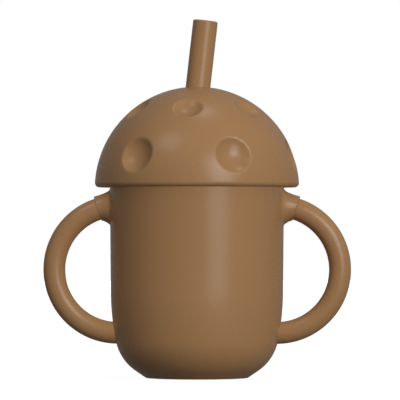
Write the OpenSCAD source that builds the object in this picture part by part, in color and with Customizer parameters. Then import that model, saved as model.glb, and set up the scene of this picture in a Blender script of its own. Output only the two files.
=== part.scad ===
// Silicone straw cup with two looped handles and a domed, dimpled lid.
// Millimetres, +Z up. The origin is the middle of the base, the handles lie along X, the front faces -Y.

/* [Cup] */
// Outer diameter of the cup at its rim
cup_rim_d = 70.4; // [62:0.2:80]
// Height of the rim above the base
cup_h = 79.8; // [74:0.2:100]
// Thickness of the silicone wall
cup_wall = 3; // [2.6:0.1:4]
// Thickness of the floor
cup_floor = 4; // [3:0.1:6]
// Lean of the wall, wider towards the rim, in degrees
wall_draft = 0.5; // [0:0.1:1.5]
// How far the flat base lies in from the rim's outer edge
base_inset = 14.6; // [13:0.1:18]
// Rise of the conical band round the base, in degrees
base_rise = 34; // [28:0.5:42]
// Radius of the round corner above that band
corner_r = 19.4; // [14:0.2:24]
// Radius of the slow curve between the corner and the wall
belly_r = 108; // [60:1:160]
// Angle at which the slow curve passes into the corner, in degrees
belly_turn = 11; // [7:0.5:15]
// Diameter of the shallow recess under the base
foot_recess_d = 30; // [20:0.5:34]
// Depth of that recess
foot_recess_h = 0.8; // [0.4:0.1:1.6]

/* [Handles] */
// Diameter of the handle's round bar
handle_d = 8.9; // [7:0.1:10]
// Radius of the handle's loop, to the middle of the bar
loop_r = 25.6; // [21:0.2:28]
// Angle from the top of the loop out to the seam with the collar, in degrees
seam_turn = 18; // [14:0.5:24]
// How deep the lower end of the bar sits in the cup's wall
handle_seat = 1.4; // [0.8:0.1:1.7]
// Diameter of the tenon that plugs into the collar
tenon_d = 6.2; // [4:0.1:6.6]
// Length of that tenon
tenon_l = 6; // [4:0.1:6.6]

/* [Collars] */
// Distance from the cup's wall out to the seam
collar_l = 5; // [4:0.1:6]
// How far the collar stands out past the bar at the seam
collar_step = 0.7; // [0.5:0.1:1.2]
// Radius of the collar's hollow flare
flare_r = 10; // [9:0.5:20]
// Slope of the flare at the seam, in degrees
flare_start = 6; // [2:0.5:12]
// Rise of the collar's axis towards the cup, in degrees
collar_tilt = 6; // [0:0.5:8]
// How far that axis lies above the bar's at the seam
collar_lift = 0.25; // [0:0.05:0.4]
// Gap between the collar's top and the lid
collar_gap = 0.9; // [0.4:0.1:2]

/* [Lid] */
// How far the lid stands out past the cup's rim
lid_overhang = 6.1; // [5:0.1:8]
// How far the lid's edge hangs below the cup's rim
lid_drop = 2.9; // [2:0.1:5]
// How far the centre of the dome lies below the lid's edge
dome_sink = 0.6; // [0:0.1:2]
// Thickness of the dome
lid_wall = 4.4; // [3.8:0.1:5]
// Rounding of the lid's lower outer edge
lid_edge_round = 1.8; // [0.8:0.1:2.4]
// Diameter of the air hole at the back of the dome
vent_d = 1.2; // [0.8:0.1:2]
// Height of the air hole up the dome, in degrees
vent_lift = 72; // [70:0.5:75]

/* [Dimples] */
// Number of dimples in each ring
dimple_count = 6; // [4:1:7]
// Diameter of the dimples in the lower ring
low_dimple_d = 16.3; // [10:0.1:17]
// Depth of the lower dimples below the dome
low_dimple_depth = 3.2; // [1.6:0.1:3.2]
// Height of the lower ring up the dome, in degrees
low_dimple_lift = 19; // [18:0.5:24]
// Diameter of the dimples in the upper ring
high_dimple_d = 13.2; // [8:0.1:14]
// Depth of the upper dimples below the dome
high_dimple_depth = 2.4; // [1.4:0.1:2.6]
// Height of the upper ring up the dome, in degrees
high_dimple_lift = 51.5; // [48:0.5:55]
// Rounding of a dimple's rim
dimple_round = 2; // [0.8:0.1:2.2]
// Turn of the first lower dimple from the front, in degrees
dimple_turn = 25; // [0:1:60]

/* [Lid ring and seal] */
// Silicone left outside the ring's flange
flange_cover = 2.8; // [2.2:0.1:4]
// Thickness of the flange that rests on the rim
flange_t = 2.4; // [1.6:0.1:3]
// Depth of the skirt below the rim
skirt_depth = 9.8; // [8.6:0.1:14]
// Thickness of the skirt
skirt_wall = 2.6; // [2:0.1:3.4]
// Gap between the skirt and the cup's wall, which the seal closes
skirt_gap = 1; // [0.6:0.1:1.6]
// Height of the seal
seal_h = 4.4; // [4:0.1:5.4]
// Distance from the rim down to the seal
seal_drop = 3; // [2:0.1:3.2]
// Depth of the seal's groove in the skirt
seal_bed = 1.3; // [0.8:0.1:1.6]
// Height of each sealing lip
lip_h = 1.8; // [1:0.1:2]

/* [Straw] */
// Outer diameter of the straw
straw_d = 10; // [9:0.1:11]
// Diameter of the straw's bore
straw_bore = 6; // [5:0.1:7]
// Lean of the straw towards +X, in degrees
straw_tilt = 6.5; // [0:0.5:9]
// Depth below the dome's top at which the straw crosses the cup's axis
straw_cross = 4; // [3.4:0.1:5]
// Length of straw above that crossing
straw_up = 30.9; // [22:0.1:40]
// Rounding of the mouth's edges
mouth_round = 0.7; // [0.3:0.1:0.9]
// Height of the straw's foot above the floor, on its axis
foot_gap = 5.2; // [2.8:0.1:6]
// Diameter of the boss that grips the straw under the dome
boss_d = 17; // [15:0.2:18]
// Length of that boss below the crossing
boss_l = 4; // [3:0.1:6]
// Diameter of the stop ring on the straw
stop_d = 13; // [12:0.1:15]
// Thickness of the stop ring
stop_t = 2; // [1.4:0.1:3]
// How far the straw can be drawn out
straw_draw = 25; // [10:0.5:35]

/* [Straw valve] */
// Diameter of the valve's plug
valve_d = 7.8; // [7.2:0.1:8]
// Length of the plug
valve_l = 3; // [2.4:0.1:5]
// Thickness of the slit membrane
membrane_t = 0.8; // [0.6:0.1:1.2]
// Wall of the plug round its cup
valve_wall = 1.2; // [0.9:0.1:1.4]
// Thickness of the valve's foot flange
valve_flange_t = 1.6; // [1.2:0.1:2]
// Width of the slits
slit_w = 0.4; // [0.3:0.1:0.6]
// Width of the notches under the flange
notch_w = 1.8; // [1:0.1:2.4]
// Depth of those notches
notch_h = 0.8; // [0.4:0.1:1]

/* [Fits] */
// Clearance between pieces that sit still in each other
seat_fit = 0.05; // [0.02:0.01:0.1]
// Clearance of the seal's lips in the cup
seal_fit = 0.06; // [0.04:0.01:0.1]
// Clearance of the straw in its boss
straw_fit = 0.06; // [0.04:0.01:0.1]
// Clearance of the soft lid round the rim and the ring
lid_fit = 0.2; // [0.12:0.01:0.3]

/* [Hidden] */
$fn = 96;

silicone = "#8f6b47";
silicone_dark = "#7d5d3e";
white_pp = "#ece6da";

// Points in one round stretch of an outline, and more for the cup's long corner
round_steps = 6;
corner_steps = 15;
// How far cutters run past what they cut
past = 1;

function unit(a) = [cos(a), sin(a)];
function arc(c, r, from, to, steps) = [for (i = [0:steps]) c + r * unit(from + (to - from) * i / steps)];

// The cup's outline runs from the flat base up a cone, the corner and the belly into the leaning wall
rim_r = cup_rim_d / 2;
base_r = rim_r - base_inset;
cone_at = base_rise - 90;
curve_in = rim_r - base_r + corner_r * (cos(cone_at) - cos(belly_turn)) + belly_r * (cos(belly_turn) - cos(wall_draft));
curve_up = corner_r * (-sin(belly_turn) - sin(cone_at)) + belly_r * (sin(belly_turn) - sin(wall_draft));
cone_l = (curve_in - (cup_h - curve_up) * tan(wall_draft)) / (cos(base_rise) - sin(base_rise) * tan(wall_draft));
cone_top = [base_r, 0] + cone_l * unit(base_rise);
corner_c = cone_top - corner_r * unit(cone_at);
belly_c = corner_c + (corner_r - belly_r) * unit(-belly_turn);
belly_low = belly_c + belly_r * unit(-belly_turn);

// Radius of the cup's outside on the straight wall and on the belly, and of its inside on the wall
function wall_r(z) = rim_r - (cup_h - z) * tan(wall_draft);
function belly_side(z) = belly_c[0] + sqrt(belly_r * belly_r - pow(z - belly_c[1], 2));
function corner_side(z) = corner_c[0] + sqrt(corner_r * corner_r - pow(z - corner_c[1], 2));
function cup_side(z) = z < belly_low[1] ? corner_side(z) : min(belly_side(z), wall_r(z));
function cup_in(z) = wall_r(z) - cup_wall / cos(wall_draft);

// The lid's dome
lid_z = cup_h - lid_drop;
dome_r = rim_r + lid_overhang;
dome_z = lid_z - dome_sink;
dome_top = dome_z + dome_r;

// The ring inside the lid
flange_r = dome_r - flange_cover;
flange_z = cup_h + flange_t;
skirt_r = cup_in(cup_h) - skirt_gap;
seal_bed_r = skirt_r - seal_bed;
seal_z = cup_h - seal_drop - seal_h;

// The collars, whose flare reaches the wall just below the lid
handle_r = handle_d / 2;
seam_r = handle_r + collar_step;
flare_c = [seam_r + flare_r * cos(flare_start), -flare_r * sin(flare_start)];
flare_wall_r = flare_c[0] - sqrt(flare_r * flare_r - pow(collar_l - flare_c[1], 2));
seam_z = lid_z - collar_gap - flare_wall_r - collar_l * tan(collar_tilt) - collar_lift;
seam_x = wall_r(seam_z) + collar_l;

// The handle's loop, which hangs from the seam and ends in the wall below
seam_at = 90 - seam_turn;
loop_x = seam_x - loop_r * cos(seam_at);
loop_z = seam_z - loop_r * sin(seam_at);
seat_x = cup_side(loop_z - loop_r) - handle_seat;
seat_turn = 20;

// The straw, measured along its axis from where it crosses the cup's axis
straw_r = straw_d / 2;
bore_r = straw_bore / 2;
valve_r = valve_d / 2;
cross_z = dome_top - straw_cross;
straw_down = (cross_z - cup_floor - foot_gap) / cos(straw_tilt) - valve_flange_t;
stop_top = -boss_l - straw_draw;

module cup_outline() {
  polygon(concat(
    [[0, 0], [base_r, 0]],
    arc(corner_c, corner_r, cone_at, -belly_turn, corner_steps),
    arc(belly_c, belly_r, -belly_turn, -wall_draft, round_steps),
    [[rim_r, cup_h], [0, cup_h]]
  ));
}

module cup_hollow_outline() {
  inner_corner = corner_r - cup_wall;
  low = corner_c + inner_corner * unit(cone_at);
  intersection() {
    polygon(concat(
      [[0, low[1] - cup_floor], low - cup_floor * unit(base_rise)],
      arc(corner_c, inner_corner, cone_at, -belly_turn, corner_steps),
      arc(belly_c, belly_r - cup_wall, -belly_turn, -wall_draft, round_steps),
      [[cup_in(cup_h + past), cup_h + past], [0, cup_h + past]]
    ));
    translate([0, cup_floor]) square([cup_rim_d, cup_h]);
  }
}

// Places children on the right handle's seam, with Z along the bar towards the cup
module at_seam() {
  translate([seam_x, 0, seam_z]) rotate([0, -seam_at, 0]) children();
}

module collar() {
  outer_l = collar_l;
  inner_l = collar_l + cup_wall / 2;
  // Its rings stay upright, as the wall is, while its axis climbs
  climb = [[1, 0, 0, 0], [0, 1, 0, 0], [-tan(collar_tilt), 0, 1, 0], [0, 0, 0, 1]];
  difference() {
    translate([seam_x, 0, seam_z + collar_lift]) multmatrix(climb) rotate([0, -90, 0]) rotate_extrude() difference() {
      translate([0, -outer_l]) square([flare_c[0], outer_l + inner_l]);
      translate(flare_c) circle(flare_r);
    }
    at_seam() translate([-flare_c[0], -flare_c[0], -2 * outer_l]) cube([2 * flare_c[0], 2 * flare_c[0], 2 * outer_l]);
  }
}

// A run of the handle's bar, by its angles from +X round the loop
module bar(r, from, to) {
  translate([loop_x, 0, loop_z]) rotate([90, 0, 0])
    rotate_extrude(start = from, angle = to - from) translate([loop_r, 0]) circle(r);
}

// The room inside the flat face on which the bar's lower end rests
module behind_seat() {
  translate([0, -handle_d, loop_z - loop_r - handle_d]) cube([seat_x, 2 * handle_d, 2 * handle_d]);
}

module handle_sockets() {
  at_seam() translate([0, 0, -past]) cylinder(r = tenon_d / 2 + seat_fit, h = tenon_l + seat_fit + past);
  difference() {
    bar(handle_r + seat_fit, -90 - seat_turn, -90 + seat_turn);
    behind_seat();
  }
}

module cup() {
  color(silicone) difference() {
    union() {
      rotate_extrude() cup_outline();
      collar();
      mirror([1, 0, 0]) collar();
    }
    rotate_extrude() cup_hollow_outline();
    translate([0, 0, -past]) cylinder(d = foot_recess_d, h = foot_recess_h + past);
    handle_sockets();
    mirror([1, 0, 0]) handle_sockets();
  }
}

module right_handle() {
  color(silicone) {
    difference() {
      bar(handle_r, -90 - seat_turn, seam_at);
      behind_seat();
    }
    at_seam() translate([0, 0, -past]) cylinder(d = tenon_d, h = tenon_l + past);
  }
}

module left_handle() {
  mirror([1, 0, 0]) right_handle();
}

module dome_outline() {
  edge_r = dome_r - lid_edge_round;
  edge_at = asin((lid_edge_round + dome_sink) / edge_r);
  middle = [0, dome_z];
  intersection() {
    translate(middle) circle(dome_r);
    polygon(concat(
      [[0, lid_z]],
      arc(middle + edge_r * unit(edge_at), lid_edge_round, -90, edge_at, round_steps),
      [middle + 2 * dome_r * unit(edge_at), [2 * dome_r, 2 * dome_top], [0, 2 * dome_top]]
    ));
  }
}

module dome_hollow_outline() {
  translate([0, lid_z - past]) square([rim_r + lid_fit, lid_drop + flange_t + past]);
  translate([0, cup_h - lid_fit]) square([flange_r + lid_fit, flange_t + lid_fit]);
  intersection() {
    translate([0, dome_z]) circle(dome_r - lid_wall);
    translate([0, cup_h]) square(2 * dome_r);
  }
}

// A shallow bowl whose rim rounds over into the dome
module dimple_cutter(d, depth) {
  half = asin(d / 2 / dome_r);
  rim = (dome_r - dimple_round) * [sin(half), cos(half)];
  floor_y = dome_r - depth;
  // The bowl touches its floor on the axis and the rim's round from outside
  drop = floor_y - rim[1];
  bowl_r = (rim[0] * rim[0] + drop * drop - dimple_round * dimple_round) / (2 * (dimple_round + rim[1] - floor_y));
  bowl_c = [0, floor_y + bowl_r];
  meet_at = atan2(rim[1] - bowl_c[1], rim[0]);
  rotate_extrude() polygon(concat(
    arc(bowl_c, bowl_r, -90, meet_at, round_steps),
    arc(rim, dimple_round, meet_at + 180, 90 - half, round_steps),
    [1.2 * dome_r * [sin(half), cos(half)], [0, 1.2 * dome_r]]
  ));
}

// Places children on the dome's surface, turned from the front towards +X and lifted from the edge
module on_dome(turn, lift) {
  translate([0, 0, dome_z]) rotate([0, 0, turn]) rotate([90 - lift, 0, 0]) children();
}

module dimple_ring(d, depth, lift, turn) {
  for (i = [0:dimple_count - 1]) on_dome(turn + i * 360 / dimple_count, lift) dimple_cutter(d, depth);
}

module on_straw() {
  translate([0, 0, cross_z]) rotate([0, straw_tilt, 0]) children();
}

module lid_cap() {
  boss_top = straw_cross - 3 * lid_wall / 4;
  color(silicone) difference() {
    union() {
      difference() {
        rotate_extrude() dome_outline();
        rotate_extrude() dome_hollow_outline();
      }
      on_straw() translate([0, 0, -boss_l]) cylinder(d = boss_d, h = boss_l + boss_top);
    }
    on_straw() translate([0, 0, -boss_l - past]) cylinder(r = straw_r + straw_fit, h = boss_l + 4 * straw_cross);
    dimple_ring(low_dimple_d, low_dimple_depth, low_dimple_lift, dimple_turn);
    dimple_ring(high_dimple_d, high_dimple_depth, high_dimple_lift, dimple_turn + 180 / dimple_count);
    on_dome(180, vent_lift) cylinder(d = vent_d, h = 2 * dome_r);
  }
}

module lid_ring() {
  inner = skirt_r - skirt_wall;
  color(white_pp) rotate_extrude() difference() {
    union() {
      translate([inner, cup_h - skirt_depth]) square([skirt_wall, skirt_depth + flange_t]);
      translate([inner, cup_h]) square([flange_r - inner, flange_t]);
    }
    translate([seal_bed_r, seal_z]) square([seal_bed + past, seal_h]);
  }
}

module lid_seal() {
  low = seal_z + seat_fit;
  high = seal_z + seal_h - seat_fit;
  low_tip = low + lip_h / 2;
  high_tip = high - lip_h / 2;
  color(silicone_dark) rotate_extrude() polygon([
    [seal_bed_r + seat_fit, low],
    [skirt_r, low],
    [cup_in(low_tip) - seal_fit, low_tip],
    [skirt_r, low + lip_h],
    [skirt_r, high - lip_h],
    [cup_in(low_tip) - seal_fit, high_tip],
    [skirt_r, high],
    [seal_bed_r + seat_fit, high]
  ]);
}

module straw() {
  bed = valve_l + seat_fit - straw_down;
  color(silicone) on_straw() rotate_extrude() polygon(concat(
    [
      [valve_r, -straw_down],
      [straw_r, -straw_down],
      [straw_r, stop_top - stop_t],
      [stop_d / 2, stop_top - stop_t],
      [stop_d / 2, stop_top],
      [straw_r, stop_top]
    ],
    arc([straw_r - mouth_round, straw_up - mouth_round], mouth_round, 0, 90, round_steps),
    arc([bore_r + mouth_round, straw_up - mouth_round], mouth_round, 90, 180, round_steps),
    [[bore_r, bed], [valve_r, bed]]
  ));
}

module straw_valve() {
  plug_r = valve_r - seat_fit;
  cup_r = valve_r - valve_wall;
  color(silicone_dark) on_straw() translate([0, 0, -straw_down]) difference() {
    union() {
      translate([0, 0, -valve_flange_t]) cylinder(r = straw_r, h = valve_flange_t);
      cylinder(r = plug_r, h = valve_l);
    }
    translate([0, 0, -valve_flange_t - past]) cylinder(r = cup_r, h = valve_flange_t + past + valve_l - membrane_t);
    for (turn = [0, 90]) rotate([0, 0, turn]) {
      translate([-cup_r, -slit_w / 2, 0]) cube([2 * cup_r, slit_w, valve_l + past]);
      translate([-straw_d, -notch_w / 2, -valve_flange_t - past]) cube([2 * straw_d, notch_w, notch_h + past]);
    }
  }
}

cup();
left_handle();
right_handle();
lid_cap();
lid_ring();
lid_seal();
straw();
straw_valve();
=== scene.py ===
import math

import bmesh
import bpy
from mathutils import Matrix, Vector


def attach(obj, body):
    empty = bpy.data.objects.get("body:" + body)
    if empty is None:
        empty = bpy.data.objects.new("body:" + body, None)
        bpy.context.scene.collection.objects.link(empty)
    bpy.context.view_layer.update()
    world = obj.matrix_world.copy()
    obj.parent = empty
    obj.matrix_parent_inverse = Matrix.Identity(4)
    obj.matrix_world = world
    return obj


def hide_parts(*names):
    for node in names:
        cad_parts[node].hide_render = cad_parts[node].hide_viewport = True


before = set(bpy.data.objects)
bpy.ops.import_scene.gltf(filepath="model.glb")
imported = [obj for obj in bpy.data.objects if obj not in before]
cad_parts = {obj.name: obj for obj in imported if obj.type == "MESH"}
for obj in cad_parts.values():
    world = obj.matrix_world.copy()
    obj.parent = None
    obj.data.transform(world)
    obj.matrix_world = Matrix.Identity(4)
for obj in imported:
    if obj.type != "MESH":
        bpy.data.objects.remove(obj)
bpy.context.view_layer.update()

# Sizes are in millimetres, as in the part's source, and angles in degrees
MM = 0.001

# Cup
RIM_R = 35.2
CUP_H = 79.8
CUP_WALL = 3
CUP_FLOOR = 4
WALL_DRAFT = 0.5
BASE_R = 20.6
BASE_RISE = 34
CORNER_R = 19.4
BELLY_R = 108
BELLY_TURN = 11
RECESS_R = 15
RECESS_H = 0.8

# Handles and the collars that hold their upper ends
HANDLE_R = 4.45
LOOP_R = 25.6
SEAM_TURN = 18
HANDLE_SEAT = 1.4
COLLAR_L = 5
COLLAR_STEP = 0.7
FLARE_R = 10
FLARE_START = 6
COLLAR_TILT = 6
COLLAR_LIFT = 0.25
COLLAR_GAP = 0.9

# Lid
LID_OVERHANG = 6.1
LID_DROP = 2.9
DOME_SINK = 0.6
LID_WALL = 4.4
LID_EDGE_ROUND = 1.8
VENT_R = 0.6
VENT_LIFT = 72
LID_FIT = 0.2

# Dimples
DIMPLES = 6
LOW_DIMPLE_D = 16.3
LOW_DIMPLE_DEPTH = 3.2
LOW_DIMPLE_LIFT = 19
HIGH_DIMPLE_D = 13.2
HIGH_DIMPLE_DEPTH = 2.4
HIGH_DIMPLE_LIFT = 51.5
DIMPLE_ROUND = 2
DIMPLE_TURN = 25

# Ring inside the lid, and its seal
FLANGE_COVER = 2.8
FLANGE_T = 2.4
SKIRT_DEPTH = 9.8
SKIRT_WALL = 2.6
SKIRT_GAP = 1
SEAL_H = 4.4
SEAL_DROP = 3
SEAL_BED = 1.3
SEAL_FIT = 0.06
LIP_H = 1.8
SEAT_FIT = 0.05

# Straw and valve, measured along the straw from where it crosses the cup's axis
STRAW_R = 5
BORE_R = 3
STRAW_TILT = 6.5
STRAW_CROSS = 4
STRAW_UP = 30.9
MOUTH_ROUND = 0.7
FOOT_GAP = 5.2
STRAW_FIT = 0.06
BOSS_R = 8.5
BOSS_L = 4
STOP_R = 6.5
STOP_T = 2
STRAW_DRAW = 25
VALVE_R = 3.9
VALVE_L = 3
VALVE_WALL = 1.2
VALVE_FLANGE_T = 1.6
MEMBRANE_T = 0.8
SLIT_W = 0.4
NOTCH_W = 1.8
NOTCH_H = 0.8


# Outlines, as points (r, z) with z upwards

def sin(angle):
    return math.sin(math.radians(angle))


def cos(angle):
    return math.cos(math.radians(angle))


def tan(angle):
    return math.tan(math.radians(angle))


def unit(angle):
    """The direction at an angle above level, one millimetre long."""
    return Vector((cos(angle), sin(angle)))


def arc(centre, radius, start, end, steps):
    """Points of an arc in an outline."""
    return [centre + radius * unit(start + (end - start) * i / steps) for i in range(steps + 1)]


def run(start, end, steps):
    """Points of a straight stretch, without its first one."""
    return [start.lerp(end, i / steps) for i in range(1, steps + 1)]


def rounded(corners, steps=4):
    """An outline through corners (r, z, rounding), each rounding an arc that touches both sides."""
    points = []
    for i, (r, z, rounding) in enumerate(corners):
        here = Vector((r, z))
        if not rounding:
            points.append(here)
            continue
        back = (Vector(corners[i - 1][:2]) - here).normalized()
        on = (Vector(corners[(i + 1) % len(corners)][:2]) - here).normalized()
        half = back.angle(on) / 2
        centre = here + (back + on).normalized() * rounding / math.sin(half)
        first = here + back * rounding / math.tan(half) - centre
        last = here + on * rounding / math.tan(half) - centre
        start = math.degrees(math.atan2(first.y, first.x))
        turn = math.degrees(first.angle_signed(last))
        points += arc(centre, rounding, start, start - turn, steps)
    return points


# The cup's outline, the lid and the straw, worked out as in the part's source
CONE_AT = BASE_RISE - 90
curve_in = (RIM_R - BASE_R + CORNER_R * (cos(CONE_AT) - cos(BELLY_TURN))
            + BELLY_R * (cos(BELLY_TURN) - cos(WALL_DRAFT)))
curve_up = CORNER_R * (-sin(BELLY_TURN) - sin(CONE_AT)) + BELLY_R * (sin(BELLY_TURN) - sin(WALL_DRAFT))
cone_l = ((curve_in - (CUP_H - curve_up) * tan(WALL_DRAFT))
          / (cos(BASE_RISE) - sin(BASE_RISE) * tan(WALL_DRAFT)))
cone_top = Vector((BASE_R, 0)) + cone_l * unit(BASE_RISE)
corner_c = cone_top - CORNER_R * unit(CONE_AT)
belly_c = corner_c + (CORNER_R - BELLY_R) * unit(-BELLY_TURN)

LID_Z = CUP_H - LID_DROP
DOME_R = RIM_R + LID_OVERHANG
DOME_Z = LID_Z - DOME_SINK
DOME_TOP = DOME_Z + DOME_R
FLANGE_R = DOME_R - FLANGE_COVER
FLANGE_Z = CUP_H + FLANGE_T
CROSS_Z = DOME_TOP - STRAW_CROSS
STRAW_DOWN = (CROSS_Z - CUP_FLOOR - FOOT_GAP) / cos(STRAW_TILT) - VALVE_FLANGE_T
STOP_TOP = -BOSS_L - STRAW_DRAW

SEAM_R = HANDLE_R + COLLAR_STEP
flare_c = Vector((SEAM_R + FLARE_R * cos(FLARE_START), -FLARE_R * sin(FLARE_START)))


def wall_r(z):
    """Outer radius of the cup's straight wall."""
    return RIM_R - (CUP_H - z) * tan(WALL_DRAFT)


def cup_in(z):
    """Inner radius of the cup's straight wall."""
    return wall_r(z) - CUP_WALL / cos(WALL_DRAFT)


def flare(out):
    """Radius of the collar at a distance out from the wall."""
    return flare_c.x - math.sqrt(FLARE_R ** 2 - (COLLAR_L - out - flare_c.y) ** 2)


SKIRT_R = cup_in(CUP_H) - SKIRT_GAP
SEAL_Z = CUP_H - SEAL_DROP - SEAL_H
SEAM_Z = LID_Z - COLLAR_GAP - flare(0) - COLLAR_L * tan(COLLAR_TILT) - COLLAR_LIFT
SEAM_X = wall_r(SEAM_Z) + COLLAR_L
SEAM_AT = 90 - SEAM_TURN
LOOP_X = SEAM_X - LOOP_R * cos(SEAM_AT)
LOOP_Z = SEAM_Z - LOOP_R * sin(SEAM_AT)


# Modelling steps that the pieces share

# Points this close together are one point
WELD_GAP = 0.0005


def draw(name, points):
    """Draws an outline upright over X: a small plane shrinks to one point, which is extruded along it."""
    bpy.ops.object.select_all(action="DESELECT")
    bpy.ops.mesh.primitive_plane_add(size=MM)
    piece = bpy.context.object
    piece.name = name
    piece.data.name = name
    bpy.ops.object.mode_set(mode="EDIT")
    bpy.ops.mesh.select_mode(type="VERT")
    bpy.ops.mesh.select_all(action="SELECT")
    bpy.ops.mesh.merge(type="CENTER")
    here = Vector((0, 0))
    for number, point in enumerate(points):
        step = ((point.x - here.x) * MM, 0, (point.y - here.y) * MM)
        if number:
            bpy.ops.mesh.extrude_region_move(TRANSFORM_OT_translate={"value": step})
        else:
            bpy.ops.transform.translate(value=step)
        here = point
    return piece


def weld():
    """Merges what lies together and turns the faces outwards."""
    bpy.ops.mesh.select_all(action="SELECT")
    bpy.ops.mesh.remove_doubles(threshold=WELD_GAP * MM)
    bpy.ops.mesh.normals_make_consistent(inside=False)


def turn_on_lathe(name, points, sides):
    """Draws an outline and spins it round Z into a closed, round piece, left in edit mode."""
    piece = draw(name, points)
    bpy.ops.mesh.select_all(action="SELECT")
    bpy.ops.mesh.spin(steps=sides, angle=math.tau, center=(0, 0, 0), axis=(0, 0, 1))
    weld()
    return piece


def select_faces(piece, wanted):
    """Selects the faces whose middle, in millimetres, is wanted."""
    bpy.ops.mesh.select_mode(type="FACE")
    bpy.ops.mesh.select_all(action="DESELECT")
    mesh = bmesh.from_edit_mesh(piece.data)
    for face in mesh.faces:
        face.select_set(wanted(face.calc_center_median() / MM))
    bmesh.update_edit_mesh(piece.data)


def move_points(piece, place):
    """Moves every vertex to where place puts it, in millimetres."""
    mesh = bmesh.from_edit_mesh(piece.data)
    for vertex in mesh.verts:
        vertex.co = place(vertex.co / MM) * MM
    bmesh.update_edit_mesh(piece.data)


def lean_with_straw():
    """Leans the piece in edit mode, which was made upright, into the straw's place."""
    bpy.ops.mesh.select_all(action="SELECT")
    bpy.ops.transform.rotate(value=-math.radians(STRAW_TILT), orient_axis="Y", center_override=(0, 0, 0))
    bpy.ops.transform.translate(value=(0, 0, CROSS_Z * MM))


def cut(piece, cutter):
    """Takes a cutter's shape out of a piece and throws the cutter away."""
    bpy.ops.object.select_all(action="DESELECT")
    piece.select_set(True)
    bpy.context.view_layer.objects.active = piece
    taken = piece.modifiers.new("cut", "BOOLEAN")
    taken.operation = "DIFFERENCE"
    taken.object = cutter
    bpy.ops.object.modifier_apply(modifier=taken.name)
    bpy.data.objects.remove(cutter)


def finish(piece, node, body, material, crease=40):
    """Leaves edit mode, smooths the piece, and puts it in its CAD node's place on its body."""
    if piece.mode == "EDIT":
        bpy.ops.object.mode_set(mode="OBJECT")
    bpy.ops.object.select_all(action="DESELECT")
    piece.select_set(True)
    bpy.context.view_layer.objects.active = piece
    bpy.ops.object.shade_smooth_by_angle(angle=math.radians(crease))
    piece.data.materials.clear()
    piece.data.materials.append(material)
    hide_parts(node)
    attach(piece, body)


# Materials

def colour(code):
    """A hex colour in sRGB as linear red, green, blue and alpha."""
    parts = [int(code[i:i + 2], 16) / 255 for i in (1, 3, 5)]
    return (*[c / 12.92 if c <= 0.04045 else ((c + 0.055) / 1.055) ** 2.4 for c in parts], 1)


def add_node(material, kind, inputs=None, **settings):
    """Adds a node with its settings, and with sockets set to values or linked from other sockets."""
    tree = material.node_tree
    node = tree.nodes.new(kind)
    for name, value in settings.items():
        setattr(node, name, value)
    for socket, value in (inputs or {}).items():
        if isinstance(value, bpy.types.NodeSocket):
            tree.links.new(value, node.inputs[socket])
        else:
            node.inputs[socket].default_value = value
    return node


def new_material(name):
    """A material with no nodes yet."""
    material = bpy.data.materials.new(name)
    material.use_nodes = True
    material.node_tree.nodes.clear()
    return material


# The middle range of the tooth's noise, and how far its two ends differ in roughness from the mean
TOOTH_LOW = 0.3
TOOTH_HIGH = 0.7
POLISH_SPREAD = 0.04


def moulded(name, light, dark, roughness, ior, gloss, cloud, grit, grit_height):
    """A moulded finish: faint clouds in the pigment, and the fine tooth that a blasted mould leaves.

    cloud, grit and grit_height are sizes in millimetres."""
    material = new_material(name)
    place = add_node(material, "ShaderNodeTexCoord").outputs["Object"]
    clouds = add_node(material, "ShaderNodeTexNoise", {
        "Vector": place, "Scale": 1 / (cloud * MM), "Detail": 3.0})
    pigment = add_node(material, "ShaderNodeMix", {
        "Factor": clouds.outputs["Fac"], "A": colour(dark), "B": colour(light)}, data_type="RGBA")
    tooth = add_node(material, "ShaderNodeTexNoise", {
        "Vector": place, "Scale": 1 / (grit * MM), "Detail": 2.0})
    polish = add_node(material, "ShaderNodeMapRange", {
        "Value": tooth.outputs["Fac"], "From Min": TOOTH_LOW, "From Max": TOOTH_HIGH,
        "To Min": roughness - POLISH_SPREAD, "To Max": roughness + POLISH_SPREAD})
    bump = add_node(material, "ShaderNodeBump", {
        "Height": tooth.outputs["Fac"], "Strength": 1.0, "Distance": grit_height * MM})
    shader = add_node(material, "ShaderNodeBsdfPrincipled", {
        "Base Color": pigment.outputs["Result"], "Roughness": polish.outputs["Result"], "IOR": ior,
        "Specular IOR Level": gloss, "Normal": bump.outputs["Normal"]})
    add_node(material, "ShaderNodeOutputMaterial", {"Surface": shader.outputs["BSDF"]})
    return material


# Platinum-cured silicone from a bead-blasted mould: opaque brown pigment, a satin skin with a wide soft
# gloss. The mould's tooth is really about 0.05 mm, and is drawn at 0.5 mm so that it can show.
brown_silicone = moulded(
    "satin moulded brown silicone", "#9e7851", "#98724d", roughness=0.29, ior=1.41, gloss=0.3,
    cloud=22, grit=0.5, grit_height=0.003)
# The same silicone, darker, for the small parts that stay inside. Its tooth is drawn coarse too.
dark_silicone = moulded(
    "satin moulded dark silicone", "#86643f", "#7f5e3c", roughness=0.5, ior=1.41, gloss=0.3,
    cloud=12, grit=0.4, grit_height=0.006)
# Injection-moulded polypropylene, uncoloured: milky white, a fine matte skin. Its tooth is drawn coarse too.
milky_polypropylene = moulded(
    "matte moulded milky polypropylene", "#ebe6db", "#e4dfd3", roughness=0.42, ior=1.49, gloss=0.4,
    cloud=15, grit=0.6, grit_height=0.008)


# Cup

CUP_SIDES = 192
RECESS_ROUND = 0.4
RECESS_EDGE = 0.3
BASE_ROUND = 0.8
RIM_ROUND = 0.6
FLOOR_ROUND = 2
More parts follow.
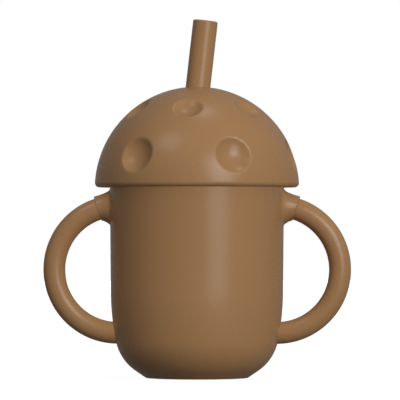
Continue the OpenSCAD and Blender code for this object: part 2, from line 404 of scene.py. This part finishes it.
# A collar grows out of a square patch of the wall's faces, this many columns to each side of its middle
COLLAR_HALF = 8
COLUMN = math.tau * RIM_R / CUP_SIDES
PATCH_LOW = SEAM_Z + COLLAR_LIFT + COLLAR_L * tan(COLLAR_TILT) - COLLAR_HALF * COLUMN
PATCH_HIGH = PATCH_LOW + 2 * COLLAR_HALF * COLUMN
PATCH_Z = (PATCH_LOW + PATCH_HIGH) / 2
COLLAR_FILLET = 0.8
FILLET_STEPS = 6
FLARE_STEPS = 7
SEAM_EDGE = 0.3
# How far inside the bar's radius the collar's end face has its last ring
SEAM_FACE_IN = 0.8


def cup_outline():
    """From the middle of the base round the outside, over the rim and down to the middle of the floor."""
    base = rounded([
        (0, RECESS_H, 0), (RECESS_R, RECESS_H, RECESS_ROUND), (RECESS_R, 0, RECESS_EDGE),
        (BASE_R, 0, BASE_ROUND), (*cone_top, 0)])
    outside = arc(corner_c, CORNER_R, CONE_AT, -BELLY_TURN, steps=24)[1:]
    outside += arc(belly_c, BELLY_R, -BELLY_TURN, -WALL_DRAFT, steps=10)[1:]
    wall_low = Vector((wall_r(PATCH_LOW), PATCH_LOW))
    wall_high = Vector((wall_r(PATCH_HIGH), PATCH_HIGH))
    outside += run(outside[-1], wall_low, steps=10) + run(wall_low, wall_high, steps=2 * COLLAR_HALF)
    inner_low = corner_c + (CORNER_R - CUP_WALL) * unit(CONE_AT)
    floor_r = inner_low.x - (inner_low.y - CUP_FLOOR) / tan(BASE_RISE)
    belly_in = arc(belly_c, BELLY_R - CUP_WALL, -WALL_DRAFT, -BELLY_TURN, steps=8)
    rim = rounded([
        (*wall_high, 0), (RIM_R, CUP_H, RIM_ROUND),
        (cup_in(CUP_H), CUP_H, RIM_ROUND), (*belly_in[0], 0)])[1:-1]
    inside = run(rim[-1], belly_in[0], steps=12) + belly_in[1:]
    inside += arc(corner_c, CORNER_R - CUP_WALL, -BELLY_TURN, CONE_AT, steps=14)[1:]
    floor = rounded([(*inside[-1], 0), (floor_r, CUP_FLOOR, FLOOR_ROUND), (0, CUP_FLOOR, 0)])[1:]
    return base + outside + rim + inside + floor


def collar_rings():
    """The collar as rings (distance out from the wall, radius): a fillet, the flare, the edge at the seam."""
    foot = Vector((0, flare(0) + COLLAR_FILLET))
    bend = Vector((0, flare(0)))
    top = Vector((COLLAR_FILLET, flare(COLLAR_FILLET)))
    shares = [i / FILLET_STEPS for i in range(FILLET_STEPS + 1)]
    fillet = [foot.lerp(bend, t).lerp(bend.lerp(top, t), t) for t in shares]
    edge = COLLAR_L - SEAM_EDGE
    outs = [COLLAR_FILLET + (edge - COLLAR_FILLET) * i / FLARE_STEPS for i in range(1, FLARE_STEPS + 1)]
    round_off = arc(Vector((edge, flare(edge) - SEAM_EDGE)), SEAM_EDGE, 90, 0, steps=4)[1:]
    face = Vector((COLLAR_L, HANDLE_R - SEAM_FACE_IN))
    return fillet + [Vector((out, flare(out))) for out in outs] + round_off + [face]


def collar_point(out, radius, turn, side):
    """A point of the collar, which follows the wall at its foot and leans with the handle at the seam."""
    share = out / COLLAR_L
    lean = SEAM_TURN * share
    y = radius * cos(turn)
    z = SEAM_Z + COLLAR_LIFT + (COLLAR_L - out) * tan(COLLAR_TILT) + radius * sin(turn) * cos(lean)
    on_wall = math.sqrt(wall_r(z) ** 2 - y ** 2) + out
    in_plane = SEAM_X - COLLAR_L + out + (COLLAR_LIFT + radius * sin(turn)) * sin(lean)
    hug = (1 - share) ** 2
    return Vector((side * (on_wall * hug + in_plane * (1 - hug)), y, z))


def open_patch(cup, side):
    """Takes a square patch out of the wall's outside and selects the edge of the hole."""
    half = COLLAR_HALF * COLUMN

    def in_patch(point):
        outside = point.xy.length > RIM_R - CUP_WALL / 2
        return outside and point.x * side > 0 and abs(point.z - PATCH_Z) < half and abs(point.y) < half

    select_faces(cup, in_patch)
    bpy.ops.mesh.region_to_loop()
    edges = [edge.index for edge in bmesh.from_edit_mesh(cup.data).edges if edge.select]
    select_faces(cup, in_patch)
    bpy.ops.mesh.delete(type="ONLY_FACE")
    bpy.ops.mesh.select_mode(type="EDGE")
    mesh = bmesh.from_edit_mesh(cup.data)
    mesh.edges.ensure_lookup_table()
    for index in edges:
        mesh.edges[index].select_set(True)
    bmesh.update_edit_mesh(cup.data)


def grow_collar(cup, side):
    """Extrudes the edge of a patch, ring by ring, into the collar, and closes its end."""
    open_patch(cup, side)
    sides = 4 * 2 * COLLAR_HALF
    for out, radius in collar_rings():
        bpy.ops.mesh.extrude_region_move()
        mesh = bmesh.from_edit_mesh(cup.data)
        ring = [vertex for vertex in mesh.verts if vertex.select]
        ring.sort(key=lambda vertex: math.atan2(vertex.co.z / MM - PATCH_Z, vertex.co.y / MM))
        for number, vertex in enumerate(ring):
            vertex.co = collar_point(out, radius, -180 + (number + 0.5) * 360 / sides, side) * MM
        bmesh.update_edit_mesh(cup.data)
    bpy.ops.mesh.extrude_region_move()
    bpy.ops.mesh.merge(type="CENTER")


def make_cup():
    """A turned shell, with a collar grown out of each side."""
    cup = turn_on_lathe("cup_shell", cup_outline(), CUP_SIDES)
    for side in (1, -1):
        grow_collar(cup, side)
    bpy.ops.mesh.select_mode(type="VERT")
    bpy.ops.mesh.select_all(action="DESELECT")
    bpy.ops.mesh.select_loose()
    bpy.ops.mesh.delete(type="VERT")
    weld()
    finish(cup, "cup", "cup_body", brown_silicone)


# Handles

BAR_SIDES = 48
BAR_STEPS = 120
BAR_EDGE = 0.1
# How far the bar is swept on past the loop's lowest point, to be cut off in the wall
SEAT_TURN = 20


def sweep_bar(name):
    """A ring of points swept round the loop into a bar with open ends, left in edit mode."""
    middle = (LOOP_X * MM, 0, LOOP_Z * MM)
    bpy.ops.object.select_all(action="DESELECT")
    bpy.ops.mesh.primitive_circle_add(
        vertices=BAR_SIDES, radius=HANDLE_R * MM, location=((LOOP_X + LOOP_R) * MM, 0, LOOP_Z * MM))
    bar = bpy.context.object
    bar.name = name
    bar.data.name = name
    bpy.ops.object.transform_apply(location=True, rotation=True, scale=True)
    bpy.ops.object.mode_set(mode="EDIT")
    bpy.ops.mesh.select_all(action="SELECT")
    edge_turn = math.degrees(BAR_EDGE / LOOP_R)
    sweep = SEAM_AT + 90 + SEAT_TURN - edge_turn
    bpy.ops.transform.rotate(value=math.radians(SEAM_AT - edge_turn), orient_axis="Y", center_override=middle)
    bpy.ops.mesh.spin(steps=BAR_STEPS, angle=-math.radians(sweep), center=middle, axis=(0, 1, 0))
    return bar


def round_upper_end(bar):
    """Draws the end at the seam in by steps, into a rounded edge and a closed face."""
    bpy.ops.mesh.select_all(action="DESELECT")
    mesh = bmesh.from_edit_mesh(bar.data)
    along = Vector((-sin(SEAM_AT), 0, cos(SEAM_AT)))
    end = Vector((LOOP_X + LOOP_R * cos(SEAM_AT), 0, LOOP_Z + LOOP_R * sin(SEAM_AT)))
    start = end - along * BAR_EDGE
    for edge in mesh.edges:
        if len(edge.link_faces) == 1 and (edge.verts[0].co / MM - start).length < 2 * HANDLE_R:
            edge.select_set(True)
    bmesh.update_edit_mesh(bar.data)
    bpy.ops.mesh.select_mode(type="EDGE")
    radius = HANDLE_R
    here = 0
    for step in arc(Vector((0, HANDLE_R - BAR_EDGE)), BAR_EDGE, 90, 0, steps=4)[1:]:
        bpy.ops.mesh.extrude_region_move(TRANSFORM_OT_translate={"value": along * (step.x - here) * MM})
        bpy.ops.transform.resize(value=(step.y / radius,) * 3, center_override=(start + along * step.x) * MM)
        here, radius = step
    bpy.ops.mesh.extrude_region_move()
    bpy.ops.mesh.merge(type="CENTER")


def seat_lower_end():
    """Cuts the lower end off flat, a little way into the cup's wall."""
    level = LOOP_Z - LOOP_R
    seat = corner_c.x + math.sqrt(CORNER_R ** 2 - (level - corner_c.y) ** 2)
    if level > (belly_c + BELLY_R * unit(-BELLY_TURN)).y:
        seat = belly_c.x + math.sqrt(BELLY_R ** 2 - (level - belly_c.y) ** 2)
    bpy.ops.mesh.select_all(action="SELECT")
    bpy.ops.mesh.bisect(
        plane_co=((seat - HANDLE_SEAT) * MM, 0, 0), plane_no=(1, 0, 0), use_fill=True, clear_inner=True)


def make_handle(node, side):
    """A looped bar, with a rounded end at the seam and a flat one in the wall."""
    handle = sweep_bar(node + "_loop")
    round_upper_end(handle)
    seat_lower_end()
    if side < 0:
        bpy.ops.mesh.select_all(action="SELECT")
        bpy.ops.transform.resize(value=(-1, 1, 1), center_override=(0, 0, 0))
    weld()
    finish(handle, node, "cup_body", brown_silicone)


# Lid

DOME_SIDES = 180
DOME_ROWS = 64
VENT_SIDES = 32
LID_MOUTH_ROUND = 0.3
LID_CORNER_ROUND = 0.2
HOLE_R = STRAW_R + STRAW_FIT
HOLE_EDGE = 0.25
BOSS_FOOT = 1
BOSS_FOOT_DROP = 0.3
BOSS_FOOT_ROUND = 0.6
BOSS_END_ROUND = 0.8
BOSS_HOLE_ROUND = 0.3
# How far the dome's faces shift with the leaning hole, and over what distance from it
HOLE_TURN = math.atan(STRAW_CROSS * tan(STRAW_TILT) / DOME_R)
HOLE_SWAY = 10
# Limits just past the hole's edge and the boss, which tell their points from the others
PAST_HOLE_R = HOLE_R + 1.1 * HOLE_EDGE
PAST_BOSS_R = BOSS_R + 1.01 * BOSS_FOOT
PAST_BOSS_Z = CROSS_Z - 1.1 * BOSS_L
# A face's middle lies up to this far under the dome's true outside
DOME_SAG = 0.1
# Band along a dimple's rim that gets finer faces, as an angle at the dome's centre
RIM_BAND = math.radians(1.6)
dome_c = Vector((0, 0, DOME_Z))


def lid_outline():
    """From the hole's edge down the dome, round the lower edge, and up inside to the boss and the hole."""
    middle = Vector((0, DOME_Z))
    edge_r = DOME_R - LID_EDGE_ROUND
    edge_at = math.degrees(math.asin((LID_EDGE_ROUND + DOME_SINK) / edge_r))
    top_at = math.degrees(math.acos((HOLE_R + HOLE_EDGE) / DOME_R))
    points = arc(middle, DOME_R, top_at, edge_at, DOME_ROWS)
    points += arc(middle + edge_r * unit(edge_at), LID_EDGE_ROUND, edge_at, -90, steps=10)[1:]
    inner_r = DOME_R - LID_WALL
    inner_at = math.degrees(math.asin((FLANGE_Z - DOME_Z) / inner_r))
    inner = middle + inner_r * unit(inner_at)
    points += rounded([
        (*points[-1], 0), (RIM_R + LID_FIT, LID_Z, LID_MOUTH_ROUND),
        (RIM_R + LID_FIT, CUP_H - LID_FIT, LID_CORNER_ROUND),
        (FLANGE_R + LID_FIT, CUP_H - LID_FIT, 0), (FLANGE_R + LID_FIT, FLANGE_Z, 0), (*inner, 0)])[1:]
    boss_at = math.degrees(math.acos((BOSS_R + BOSS_FOOT) / inner_r))
    points += arc(middle, inner_r, inner_at, boss_at, steps=24)[1:]
    low = CROSS_Z - BOSS_L
    points += rounded([
        (*points[-1], 0), (BOSS_R, points[-1].y - BOSS_FOOT_DROP, BOSS_FOOT_ROUND),
        (BOSS_R, low, BOSS_END_ROUND), (HOLE_R, low, BOSS_HOLE_ROUND), (HOLE_R, CROSS_Z, 0)])[1:]
    hole_c = Vector((HOLE_R + HOLE_EDGE, points[0].y - HOLE_EDGE))
    return points + arc(hole_c, HOLE_EDGE, 180, 90, steps=4)


def dimple_axes():
    """Each dimple as its direction from the dome's centre, its diameter and its depth."""
    low = (LOW_DIMPLE_LIFT, LOW_DIMPLE_D, LOW_DIMPLE_DEPTH)
    high = (HIGH_DIMPLE_LIFT, HIGH_DIMPLE_D, HIGH_DIMPLE_DEPTH)
    for ring, (lift, width, depth) in enumerate((low, high)):
        for number in range(DIMPLES):
            turn = DIMPLE_TURN + (number + ring / 2) * 360 / DIMPLES
            yield Vector((sin(turn) * cos(lift), -cos(turn) * cos(lift), sin(lift))), width, depth


class Dimple:
    """A shallow bowl whose rim rounds over into the dome."""

    def __init__(self, axis, width, depth):
        self.axis = axis
        self.half = math.asin(width / 2 / DOME_R)
        self.rim_d = DOME_R - DIMPLE_ROUND
        rim = Vector((self.rim_d * math.sin(self.half), self.rim_d * math.cos(self.half)))
        floor = DOME_R - depth
        drop = floor - rim.y
        self.bowl_r = (rim.x ** 2 + drop ** 2 - DIMPLE_ROUND ** 2) / (2 * (DIMPLE_ROUND - drop))
        self.bowl_d = floor + self.bowl_r
        across = (rim - Vector((0, self.bowl_d))).normalized() * self.bowl_r
        self.meet = math.atan2(across.x, self.bowl_d + across.y)

    def away(self, direction):
        """Angle from the dimple's axis."""
        return direction.angle(self.axis)

    def reach(self, away):
        """Distance of the surface from the dome's centre, at an angle from the dimple's axis."""
        if away >= self.half:
            return DOME_R
        if away > self.meet:
            gap = self.half - away
            above = math.sqrt(DIMPLE_ROUND ** 2 - (self.rim_d * math.sin(gap)) ** 2)
            return self.rim_d * math.cos(gap) + above
        below = math.sqrt(self.bowl_r ** 2 - (self.bowl_d * math.sin(away)) ** 2)
        return self.bowl_d * math.cos(away) - below


dimples = [Dimple(*found) for found in dimple_axes()]


def on_outer_dome(point):
    """True on the dome's outside, clear of the hole's edge and the lower edge's round."""
    out = point - dome_c
    return out.length > DOME_R - DOME_SAG and point.z > LID_Z + LID_EDGE_ROUND


def lean_hole(point):
    """Leans the hole and the boss with the straw, and keeps their ends on the dome."""
    across = point.xy.length
    if on_outer_dome(point) and across > PAST_HOLE_R:
        share = max(0, 1 - (across - HOLE_R) / HOLE_SWAY)
        return dome_c + Matrix.Rotation(HOLE_TURN * share, 3, "Y") @ (point - dome_c)
    if across > PAST_BOSS_R or point.z < PAST_BOSS_Z:
        return point
    reach = DOME_R if across < PAST_HOLE_R else DOME_R - LID_WALL
    cross = Vector((0, 0, CROSS_Z))
    upright_top = math.sqrt(reach ** 2 - across ** 2) + DOME_Z - CROSS_Z
    lean = Matrix.Rotation(math.radians(STRAW_TILT), 3, "Y")
    along = lean @ Vector((0, 0, 1))
    base = cross - dome_c + lean @ Vector((point.x, point.y, 0))
    drop = base.dot(along)
    leaning_top = -drop + math.sqrt(drop ** 2 - base.length_squared + reach ** 2)
    height = point.z - CROSS_Z
    share = (height + BOSS_L) / (upright_top + BOSS_L)
    return dome_c + base + along * (height + (leaning_top - upright_top) * share)


def at_dimple(point):
    """True on a dimple and just round it."""
    out = point - dome_c
    return on_outer_dome(point) and any(dimple.away(out) < dimple.half + RIM_BAND for dimple in dimples)


def at_dimple_rim(point):
    """True on the rounded rim of a dimple and just beside it."""
    out = point - dome_c
    return on_outer_dome(point) and any(
        dimple.meet - RIM_BAND < dimple.away(out) < dimple.half + RIM_BAND / 2 for dimple in dimples)


def sink(point):
    """Moves a point of the dome's outside down to the surface of the dimple that it lies in, if any."""
    if not on_outer_dome(point):
        return point
    direction = (point - dome_c).normalized()
    return dome_c + direction * min(dimple.reach(dimple.away(direction)) for dimple in dimples)


def make_lid():
    """A turned dome, with the hole leaned over, the dimples sunk and the air hole cut."""
    lid = turn_on_lathe("lid_dome", lid_outline(), DOME_SIDES)
    move_points(lid, lean_hole)
    # Finer faces where the dimples lie, and finer still along their rims
    select_faces(lid, at_dimple)
    bpy.ops.mesh.subdivide(number_cuts=1)
    select_faces(lid, at_dimple_rim)
    bpy.ops.mesh.subdivide(number_cuts=2)
    move_points(lid, sink)
    bpy.ops.object.mode_set(mode="OBJECT")
    bpy.ops.object.select_all(action="DESELECT")
    vent = dome_c + Vector((0, cos(VENT_LIFT), sin(VENT_LIFT))) * (DOME_R - LID_WALL / 2)
    bpy.ops.mesh.primitive_cylinder_add(
        vertices=VENT_SIDES, radius=VENT_R * MM, depth=2 * LID_WALL * MM, location=vent * MM,
        rotation=(math.radians(VENT_LIFT - 90), 0, 0))
    cut(lid, bpy.context.object)
    finish(lid, "lid_cap", "lid_dome", brown_silicone)


# Ring and seal

RING_SIDES = 144
SKIRT_IN_ROUND = 0.5
SKIRT_OUT_ROUND = 0.8
SKIRT_TOP_ROUND = 0.3
BED_ROUND = 0.2
FLANGE_LOW_ROUND = 0.4
FLANGE_TOP_ROUND = 0.5
RING_MOUTH_ROUND = 0.6
SEAL_ROUND = 0.2
LIP_ROUND = 0.25


def make_ring():
    """The stiff ring: a skirt with a bed for the seal, under a flange that rests on the cup's rim."""
    inner = SKIRT_R - SKIRT_WALL
    bed = SKIRT_R - SEAL_BED
    low = CUP_H - SKIRT_DEPTH
    corners = [
        (inner, low, SKIRT_IN_ROUND), (SKIRT_R, low, SKIRT_OUT_ROUND),
        (SKIRT_R, SEAL_Z, BED_ROUND), (bed, SEAL_Z, 0),
        (bed, SEAL_Z + SEAL_H, 0), (SKIRT_R, SEAL_Z + SEAL_H, BED_ROUND),
        (SKIRT_R, CUP_H, SKIRT_TOP_ROUND), (FLANGE_R, CUP_H, FLANGE_LOW_ROUND),
        (FLANGE_R, FLANGE_Z, FLANGE_TOP_ROUND), (inner, FLANGE_Z, RING_MOUTH_ROUND)]
    points = rounded(corners)
    ring = turn_on_lathe("lid_plug_ring", points + points[:1], RING_SIDES)
    finish(ring, "lid_ring", "lid_plug", milky_polypropylene)


def make_seal():
    """The soft ring in the skirt's bed, with two lips that reach for the cup's wall."""
    bed = SKIRT_R - SEAL_BED + SEAT_FIT
    low = SEAL_Z + SEAT_FIT
    high = SEAL_Z + SEAL_H - SEAT_FIT
    tip = cup_in(low + LIP_H / 2) - SEAL_FIT
    corners = [
        (bed, low, SEAL_ROUND), (SKIRT_R, low, 0),
        (tip, low + LIP_H / 2, LIP_ROUND), (SKIRT_R, low + LIP_H, SEAL_ROUND),
        (SKIRT_R, high - LIP_H, SEAL_ROUND), (tip, high - LIP_H / 2, LIP_ROUND),
        (SKIRT_R, high, 0), (bed, high, SEAL_ROUND)]
    points = rounded(corners)
    seal = turn_on_lathe("lid_seal_ring", points + points[:1], RING_SIDES)
    finish(seal, "lid_seal", "lid_plug", dark_silicone)


# Straw and valve

STRAW_SIDES = 72
FOOT_IN_ROUND = 0.2
FOOT_OUT_ROUND = 0.3
STOP_FOOT_ROUND = 0.3
STOP_EDGE_ROUND = 0.4
VALVE_SIDES = 64
VALVE_ROUND = 0.3
VALVE_FLANGE_TOP_ROUND = 0.2
VALVE_FLANGE_LOW_ROUND = 0.4
VALVE_CREASE = 30


def make_straw():
    """A turned tube, with a stop ring below the lid and a seat for the valve in its foot."""
    bed = VALVE_L + SEAT_FIT - STRAW_DOWN
    low = STOP_TOP - STOP_T
    corners = [
        (VALVE_R, -STRAW_DOWN, FOOT_IN_ROUND), (STRAW_R, -STRAW_DOWN, FOOT_OUT_ROUND),
        (STRAW_R, low, STOP_FOOT_ROUND), (STOP_R, low, STOP_EDGE_ROUND),
        (STOP_R, STOP_TOP, STOP_EDGE_ROUND), (STRAW_R, STOP_TOP, STOP_FOOT_ROUND),
        (STRAW_R, STRAW_UP, MOUTH_ROUND), (BORE_R, STRAW_UP, MOUTH_ROUND),
        (BORE_R, bed, 0), (VALVE_R, bed, 0)]
    points = rounded(corners, steps=6)
    straw = turn_on_lathe("drinking_straw", points + points[:1], STRAW_SIDES)
    lean_with_straw()
    finish(straw, "straw", "straw_tube", brown_silicone)


def cut_slot(piece, size, middle):
    """Cuts a box-shaped slot."""
    bpy.ops.object.select_all(action="DESELECT")
    bpy.ops.mesh.primitive_cube_add(size=1, location=Vector(middle) * MM, scale=Vector(size) * MM)
    cut(piece, bpy.context.object)


def make_valve():
    """A turned plug, with a crossed slit in its membrane and four notches under its flange."""
    cup_r = VALVE_R - VALVE_WALL
    corners = [
        (0, VALVE_L, 0), (VALVE_R - SEAT_FIT, VALVE_L, VALVE_ROUND), (VALVE_R - SEAT_FIT, 0, 0),
        (STRAW_R, 0, VALVE_FLANGE_TOP_ROUND), (STRAW_R, -VALVE_FLANGE_T, VALVE_FLANGE_LOW_ROUND),
        (cup_r, -VALVE_FLANGE_T, VALVE_ROUND), (cup_r, VALVE_L - MEMBRANE_T, VALVE_ROUND),
        (0, VALVE_L - MEMBRANE_T, 0)]
    valve = turn_on_lathe("slit_valve", rounded(corners), VALVE_SIDES)
    bpy.ops.object.mode_set(mode="OBJECT")
    across = 4 * STRAW_R
    slit_h = 2 * MEMBRANE_T
    cut_slot(valve, (2 * cup_r, SLIT_W, slit_h), (0, 0, VALVE_L))
    cut_slot(valve, (SLIT_W, 2 * cup_r, slit_h), (0, 0, VALVE_L))
    cut_slot(valve, (across, NOTCH_W, 2 * NOTCH_H), (0, 0, -VALVE_FLANGE_T))
    cut_slot(valve, (NOTCH_W, across, 2 * NOTCH_H), (0, 0, -VALVE_FLANGE_T))
    bpy.ops.object.mode_set(mode="EDIT")
    bpy.ops.mesh.select_all(action="SELECT")
    bpy.ops.transform.translate(value=(0, 0, -STRAW_DOWN * MM))
    lean_with_straw()
    finish(valve, "straw_valve", "straw_tube", dark_silicone, crease=VALVE_CREASE)


make_cup()
make_handle("right_handle", 1)
make_handle("left_handle", -1)
make_lid()
make_ring()
make_seal()
make_straw()
make_valve()


# Floor, light and camera

# How much of the white that the camera sees shows in reflections, as in a studio that is dim around its paper
IN_REFLECTIONS = 0.05
# Share of the paper's white near the cup that its lamps give, so that a shadow can show there
LIT_NEAR = 0.12
# Width of the paper in metres, and how far it lies under the cup's base in millimetres
PAPER_W = 12
PAPER_GAP = 0.05
# Distance of the lamps in metres
LAMP_AWAY = 3
# Width of the camera's sensor in millimetres
SENSOR_W = 36


def background_white(owner):
    """1 to the camera and through clear things, less in reflections, and 0 as light on the cup."""
    seen = add_node(owner, "ShaderNodeLightPath")
    plain = add_node(owner, "ShaderNodeMath", {
        0: seen.outputs["Is Camera Ray"], 1: seen.outputs["Is Transmission Ray"]}, operation="MAXIMUM")
    white = add_node(owner, "ShaderNodeMath", {
        0: seen.outputs["Is Glossy Ray"], 1: IN_REFLECTIONS, 2: plain.outputs[0]}, operation="MULTIPLY_ADD")
    return white.outputs[0]


def make_floor():
    """Matte paper, topped up to white for the camera, and less so near the cup, where it keeps the shadow."""
    # Uncoated paper in a mid grey: no gloss, and little light back up on the cup's underside
    paper = new_material("uncoated grey paper")
    place = add_node(paper, "ShaderNodeTexCoord").outputs["Object"]
    near = add_node(paper, "ShaderNodeTexGradient", {"Vector": place}, gradient_type="SPHERICAL")
    top_up = add_node(paper, "ShaderNodeMapRange", {
        "Value": near.outputs["Fac"], "To Min": 1.0, "To Max": 1 - LIT_NEAR})
    glow = add_node(paper, "ShaderNodeMath", {
        0: background_white(paper), 1: top_up.outputs["Result"]}, operation="MULTIPLY")
    shader = add_node(paper, "ShaderNodeBsdfPrincipled", {
        "Base Color": colour("#787878"), "Roughness": 0.9, "Specular IOR Level": 0.0,
        "Emission Color": colour("#ffffff"), "Emission Strength": glow.outputs[0]})
    add_node(paper, "ShaderNodeOutputMaterial", {"Surface": shader.outputs["BSDF"]})
    bpy.ops.object.select_all(action="DESELECT")
    bpy.ops.mesh.primitive_plane_add(size=PAPER_W, location=(0, 0, -PAPER_GAP * MM))
    floor = bpy.context.object
    floor.name = "floor"
    floor.data.materials.append(paper)


def light_world(level):
    """White as a background, and a faint grey as light."""
    world = bpy.data.worlds.new("studio")
    world.use_nodes = True
    world.node_tree.nodes.clear()
    strength = add_node(world, "ShaderNodeMapRange", {
        "Value": background_white(world), "To Min": level, "To Max": 1.0})
    sky = add_node(world, "ShaderNodeBackground", {
        "Color": colour("#ffffff"), "Strength": strength.outputs["Result"]})
    add_node(world, "ShaderNodeOutputWorld", {"Surface": sky.outputs["Background"]})
    bpy.context.scene.world = world


def add_softbox(name, azimuth, elevation, width, height, watts, shadow=True, gloss=True):
    """A soft lamp aimed at the height of the cup's rim, with its own sizes in metres."""
    aim = Vector((0, 0, CUP_H * MM))
    away = Vector((sin(azimuth) * cos(elevation), -cos(azimuth) * cos(elevation), sin(elevation)))
    bpy.ops.object.light_add(
        type="AREA", location=aim + away * LAMP_AWAY, rotation=away.to_track_quat("Z", "Y").to_euler())
    lamp = bpy.context.object
    lamp.name = name
    lamp.data.shape = "RECTANGLE"
    lamp.data.size = width
    lamp.data.size_y = height
    lamp.data.energy = watts
    lamp.data.use_shadow = shadow
    lamp.visible_glossy = gloss


def add_camera(azimuth, distance, eye_height, aim_x, aim_z, frame_width):
    """The photograph's view: a long lens somewhat below the middle of the whole, aimed a little up."""
    aim = Vector((aim_x, 0, aim_z)) * MM
    place = Vector((aim_x + distance * sin(azimuth), -distance * cos(azimuth), eye_height)) * MM
    bpy.ops.object.camera_add(location=place, rotation=(aim - place).to_track_quat("-Z", "Y").to_euler())
    camera = bpy.context.object
    camera.data.sensor_width = SENSOR_W
    camera.data.lens = SENSOR_W * distance / frame_width
    camera.data.clip_start = 0.05
    camera.data.clip_end = 50
    bpy.context.scene.camera = camera


make_floor()
light_world(level=0.23)
add_softbox("key", azimuth=34, elevation=25, width=1.6, height=1, watts=48.5, shadow=False)
add_softbox("low_key", azimuth=31, elevation=5, width=1.25, height=0.85, watts=22.4, shadow=False)
add_softbox("left_top", azimuth=-42, elevation=50, width=1.1, height=0.75, watts=11.8, shadow=False)
add_softbox("back_top", azimuth=147, elevation=82, width=0.7, height=0.7, watts=6.7)
# Light for views from behind, with no highlight of its own, which would brighten the outlines from the front
add_softbox("back_fill", azimuth=190, elevation=8, width=1.6, height=1, watts=36, shadow=False, gloss=False)
add_camera(azimuth=3, distance=1606, eye_height=59.7, aim_x=1.24, aim_z=71.8, frame_width=161.6)
bpy.context.scene.view_settings.view_transform = "Standard"
